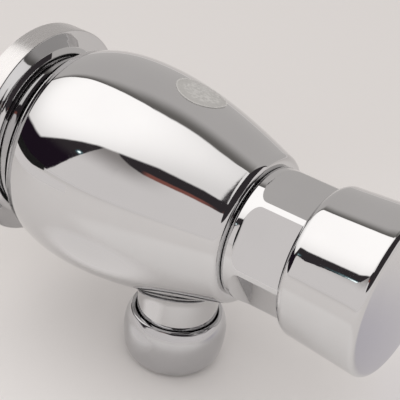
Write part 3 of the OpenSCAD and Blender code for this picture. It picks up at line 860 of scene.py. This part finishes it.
# The finishes, as dull and bright colour, metallic, gloss, grain and relief
chrome = finish("polished_chrome", (0.64, 0.64, 0.645), (0.655, 0.655, 0.66), 1.0,
                (0.02, 0.045), fine_grain(320.0), 0.004)
soft_chrome = finish("soft_chrome", (0.54, 0.54, 0.55), (0.57, 0.57, 0.58), 1.0,
                     (0.07, 0.11), fine_grain(320.0), 0.004)
satin = finish("satin_chrome", (0.60, 0.59, 0.585), (0.66, 0.65, 0.645), 1.0,
               (0.25, 0.29), lathe_grain(1400.0), 0.0004)
brass = finish("machined_brass", (0.70, 0.53, 0.26), (0.80, 0.64, 0.35), 1.0,
               (0.20, 0.34), lathe_grain(1800.0), 0.012)
outlet_brass = finish("machined_brass_outlet", (0.70, 0.53, 0.26), (0.80, 0.64, 0.35), 1.0,
                      (0.20, 0.34), lathe_grain(1800.0, "outlet"), 0.012)
steel = finish("turned_steel", (0.60, 0.60, 0.61), (0.69, 0.69, 0.70), 1.0,
               (0.18, 0.32), lathe_grain(2200.0), 0.008)
drawn_steel = finish("drawn_steel", (0.58, 0.58, 0.59), (0.68, 0.68, 0.69), 1.0,
                     (0.22, 0.34), fine_grain(1500.0), 0.006)
pom = finish("moulded_pom", (0.84, 0.83, 0.79), (0.89, 0.88, 0.84), 0.0,
             (0.42, 0.55), fine_grain(2400.0), 0.012)
grey_plastic = finish("grey_plastic", (0.27, 0.28, 0.30), (0.32, 0.33, 0.35), 0.0,
                      (0.38, 0.52), fine_grain(2600.0), 0.012)
rubber = finish("seal_rubber", (0.040, 0.040, 0.041), (0.062, 0.061, 0.060), 0.0,
                (0.52, 0.72), fine_grain(1600.0), 0.015)
foam = finish("closed_cell_foam", (0.12, 0.12, 0.13), (0.19, 0.19, 0.20), 0.0,
              (0.82, 0.95), foam_grain(1300.0), 0.12)
film = make_film()

NODE_FINISHES = {
    "flange_gasket": foam, "grip_ring": rubber, "inlet_strainer": drawn_steel,
    "flow_restrictor": pom, "inlet_washer": rubber, "valve_seat": brass, "seat_ring": rubber,
    "seal_nut": brass, "seal_holder": brass, "main_seal": rubber, "push_rod": steel,
    "cartridge_sleeve": pom, "piston": pom, "piston_cup": rubber, "piston_clip": drawn_steel,
    "bleed_jet": brass, "bonnet_ring": rubber, "rod_bush": pom, "rod_ring": rubber,
    "lock_nut": steel, "button_insert": grey_plastic, "backflow_sleeve": grey_plastic,
    "cone_washer": rubber, "slip_ring": outlet_brass,
}


def wear(piece, material):
    """Gives the piece this one material."""
    piece.data.materials.clear()
    piece.data.materials.append(material)


for piece in (body, spigot, flange, bonnet, button):
    wear(piece, chrome)
wear(nut, soft_chrome)
wear(nipple, brass)
wear(spring, drawn_steel)
wear(sticker, film)
for name, material in NODE_FINISHES.items():
    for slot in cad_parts[name].material_slots:
        slot.material = material


def give_satin_rim(flange):
    """The outer edge of the flange is satin, its face and collar are bright."""
    flange.data.materials.append(satin)
    pick(flange)
    flange.active_material_index = 1
    bpy.ops.object.mode_set(mode="EDIT")
    bpy.ops.mesh.select_mode(type="FACE")
    bpy.ops.mesh.select_all(action="DESELECT")
    bpy.ops.object.mode_set(mode="OBJECT")
    for face in flange.data.polygons:
        away = math.hypot(face.center.x, face.center.z)
        face.select = away > 29.3 * MM and abs(face.normal.y) < 0.8
    bpy.ops.object.mode_set(mode="EDIT")
    bpy.ops.object.material_slot_assign()
    bpy.ops.object.mode_set(mode="OBJECT")
    clear_selection()


give_satin_rim(flange)


# The stage's lights and paper

def shine(nodes, links, colour):
    """Light of this colour."""
    light = nodes.new("ShaderNodeEmission")
    links.new(colour, light.inputs["Color"])
    return light.outputs["Emission"]


def make_dome_light():
    """The light of the room, in each direction from the valve."""
    material, nodes, links, shader = new_material("studio_light")
    nodes.remove(shader)
    turn = nodes.new("ShaderNodeMapping")
    turn.vector_type = "POINT"
    turn.inputs["Rotation"].default_value = turned(0, 0, -CAMERA_HEADING)
    links.new(object_place(nodes), turn.inputs["Vector"])
    unit = nodes.new("ShaderNodeVectorMath")
    unit.operation = "NORMALIZE"
    links.new(turn.outputs["Vector"], unit.inputs[0])
    parts = nodes.new("ShaderNodeSeparateXYZ")
    links.new(unit.outputs["Vector"], parts.inputs["Vector"])
    azimuth = number(nodes, links, "ARCTAN2", parts.outputs["Y"], parts.outputs["X"])
    across = number(nodes, links, "MULTIPLY_ADD", azimuth, 1 / math.tau)
    across.node.inputs[2].default_value = 0.5
    elevation = number(nodes, links, "ARCSINE", parts.outputs["Z"])
    height = number(nodes, links, "MULTIPLY_ADD", elevation, 1 / math.pi)
    height.node.inputs[2].default_value = 0.5

    def over(points):
        """How far a direction is above an edge, in half turns."""
        curve = nodes.new("ShaderNodeFloatCurve")
        line = curve.mapping.curves[0]
        spots = [(aside / 360 + 0.5, rise / 180 + 0.5) for aside, rise in points]
        line.points[0].location = spots[0]
        line.points[1].location = spots[-1]
        for spot in spots[1:-1]:
            line.points.new(*spot)
        for point in line.points:
            point.handle_type = "VECTOR"
        curve.mapping.update()
        links.new(across, curve.inputs["Value"])
        return number(nodes, links, "SUBTRACT", height, curve.outputs["Value"])

    def toward(aside, rise):
        """1 in this direction, and less the further away from it."""
        a, e = turned(aside, rise)
        ahead = (math.cos(e) * math.cos(a), math.cos(e) * math.sin(a), math.sin(e))
        return measure(nodes, links, "DOT_PRODUCT", unit.outputs["Vector"], ahead)

    def soft(value, width):
        """A step at an edge, as wide as this many degrees."""
        return spread(nodes, links, value, -width / 360, width / 360)

    def fade(value, low, high):
        """0 at the low angle and 1 at the high one."""
        return spread(nodes, links, value, *turned(low, high))

    def both(one, two):
        return number(nodes, links, "MULTIPLY", one, two)

    def between(value, low, full_low, full_high, high):
        """1 between the two full angles, fading to 0 at low and high."""
        return both(fade(value, low, full_low), fade(value, high, full_high))

    def blend(share, one, two):
        return blend_colour(nodes, links, share, one, two)

    over_softbox = over(SOFTBOX_EDGE)
    over_dark = over(DARK_EDGE)

    # the dark band, with its red-brown streak and one small light
    paler = number(nodes, links, "MAXIMUM", fade(azimuth, -60, -45), fade(elevation, 17, 27))
    dark = blend(paler, DARK, DARK_PALER)
    low_in_dark = spread(nodes, links, over_dark, 4.2 / 180, 2.8 / 180)
    dark = blend(both(between(azimuth, -35, -31.5, -17, -13), low_in_dark), dark, WOOD)
    glint = toward(*GLINT)
    dark = blend(spread(nodes, links, glint, 0.9993, 0.9999), dark, TEAL)
    dark = blend(spread(nodes, links, glint, 0.99985, 0.99997), dark, SPARK)

    # the room under it, and what is behind the valve
    shade = both(fade(elevation, 20, 42), between(azimuth, -62, -57, -40, -22))
    room = blend(soft(over_dark, 1.6), blend(shade, ROOM, WALL_SHADE), dark)
    back_shade = spread(nodes, links, over_softbox, -20 / 180, -3 / 180)
    back = blend(back_shade, BACK, BACK_SHADE)
    behind = number(nodes, links, "SUBTRACT", 1.0, soft(over(BACK_EDGE), 8))
    room = blend(behind, room, back)

    # the softbox above them
    glow = spread(nodes, links, toward(*SOFTBOX_MIDDLE), 0.62, 0.97)
    front = spread(nodes, links, toward(*SOFTBOX_FRONT), -0.044, -0.036)
    room = blend(both(soft(over_softbox, 2.5), front), room, blend(glow, SOFTBOX, SOFTBOX_GLOW))
    links.new(shine(nodes, links, room), nodes["Material Output"].inputs["Surface"])
    return material


def make_card_light():
    """The cards glow with the room's light, a painted reflection, and painted shade greys them
    towards the top, as it greys the room's wall.
    """
    material, nodes, links, shader = new_material("card_glow")
    nodes.remove(shader)
    parts = nodes.new("ShaderNodeSeparateXYZ")
    links.new(object_place(nodes), parts.inputs["Vector"])
    shade = spread(nodes, links, parts.outputs["Z"], 0.108, 0.247)
    light = shine(nodes, links, blend_colour(nodes, links, shade, ROOM, WALL_SHADE))
    links.new(light, nodes["Material Output"].inputs["Surface"])
    return material


def make_sheet_light():
    """The sheet glows, a painted reflection that brightens what the body's underside mirrors, and
    fades out at its edges.
    """
    material, nodes, links, shader = new_material("sheet_glow")
    nodes.remove(shader)
    away = measure(nodes, links, "LENGTH", object_place(nodes))
    light = nodes.new("ShaderNodeEmission")
    light.inputs["Color"].default_value = SHEET_GLOW + (1.0,)
    clear = nodes.new("ShaderNodeBsdfTransparent")
    mix = nodes.new("ShaderNodeMixShader")
    links.new(spread(nodes, links, away, 0.5, 0.28), mix.inputs["Fac"])
    links.new(clear.outputs["BSDF"], mix.inputs[1])
    links.new(light.outputs["Emission"], mix.inputs[2])
    links.new(mix.outputs["Shader"], nodes["Material Output"].inputs["Surface"])
    return material


def new_dull_material(name):
    material, nodes, links, shader = new_material(name)
    shader.inputs["Roughness"].default_value = 0.9
    shader.inputs["Specular IOR Level"].default_value = 0.0
    return material, nodes, links, shader


def make_flag_black():
    material, nodes, links, shader = new_dull_material("flag_black")
    shader.inputs["Base Color"].default_value = (0.02, 0.02, 0.02, 1.0)
    return material


# The paper's own colour, then the painted light near the camera's side, the painted pool of
# light, the painted shadow and the painted light far off
PAPER, PAPER_NEAR_LIGHT = (0.704, 0.675, 0.655), (0.81, 0.78, 0.76)
PAPER_LIGHT_POOL, PAPER_SHADOW = (0.89, 0.865, 0.845), (0.60, 0.577, 0.62)
PAPER_FAR_LIGHT = (0.925, 0.90, 0.89)
LIGHT_POOL_PLACE = (-62 * MM, -78 * MM, 0)
SHADOW_PLACE = (42 * MM, -152 * MM, 0)


def make_paper():
    """Pale paper. Painted light makes it paler towards the camera's side and lays a painted pool
    of light before the valve, beyond the picture's lower edge, and a painted shadow lies before
    the button, beyond its lower right corner, which the button mirrors. Far off, where no lamp
    reaches, painted light makes it as pale as the room that stands on it."""
    material, nodes, links, shader = new_dull_material("paper")
    place = object_place(nodes)
    heading = math.radians(LIGHT_HEADING)
    ahead = (math.cos(heading), math.sin(heading), 0)
    near = measure(nodes, links, "DOT_PRODUCT", place, ahead)
    # painted light: the paper turns paler towards the camera's side, where the light pools
    middle = spread(nodes, links, near, -90 * MM, 64 * MM)
    colour = blend_colour(nodes, links, middle, PAPER, PAPER_NEAR_LIGHT)
    # a painted pool of light before the valve
    light_pool_away = measure(nodes, links, "DISTANCE", place, LIGHT_POOL_PLACE)
    painted_light_pool = number(nodes, links, "MULTIPLY",
                    spread(nodes, links, near, 60 * MM, 86 * MM),
                    spread(nodes, links, light_pool_away, 120 * MM, 65 * MM))
    colour = blend_colour(nodes, links, painted_light_pool, colour, PAPER_LIGHT_POOL)
    # a painted shadow before the button, which the button mirrors
    shadow_away = measure(nodes, links, "DISTANCE", place, SHADOW_PLACE)
    painted_shadow = spread(nodes, links, shadow_away, 62 * MM, 0)
    colour = blend_colour(nodes, links, painted_shadow, colour, PAPER_SHADOW)
    # painted light far off, where the lamps don't reach
    far = spread(nodes, links, light_pool_away, 0.95, 1.7)
    colour = blend_colour(nodes, links, far, colour, PAPER_FAR_LIGHT)
    links.new(colour, shader.inputs["Base Color"])
    return material


wear(dome, make_dome_light())
wear(flag, make_flag_black())
# the glowing cards, painted reflections
card_glow = make_card_light()
wear(low_card, card_glow)
wear(near_card, card_glow)
wear(sheet, make_sheet_light())
wear(floor, make_paper())

WORLD = (0.84, 0.825, 0.82)

scene = bpy.context.scene
scene.view_settings.view_transform = "Standard"
if scene.world is None:
    scene.world = bpy.data.worlds.new("studio")
scene.world.use_nodes = True
scene.world.node_tree.nodes["Background"].inputs["Color"].default_value = WORLD + (1.0,)
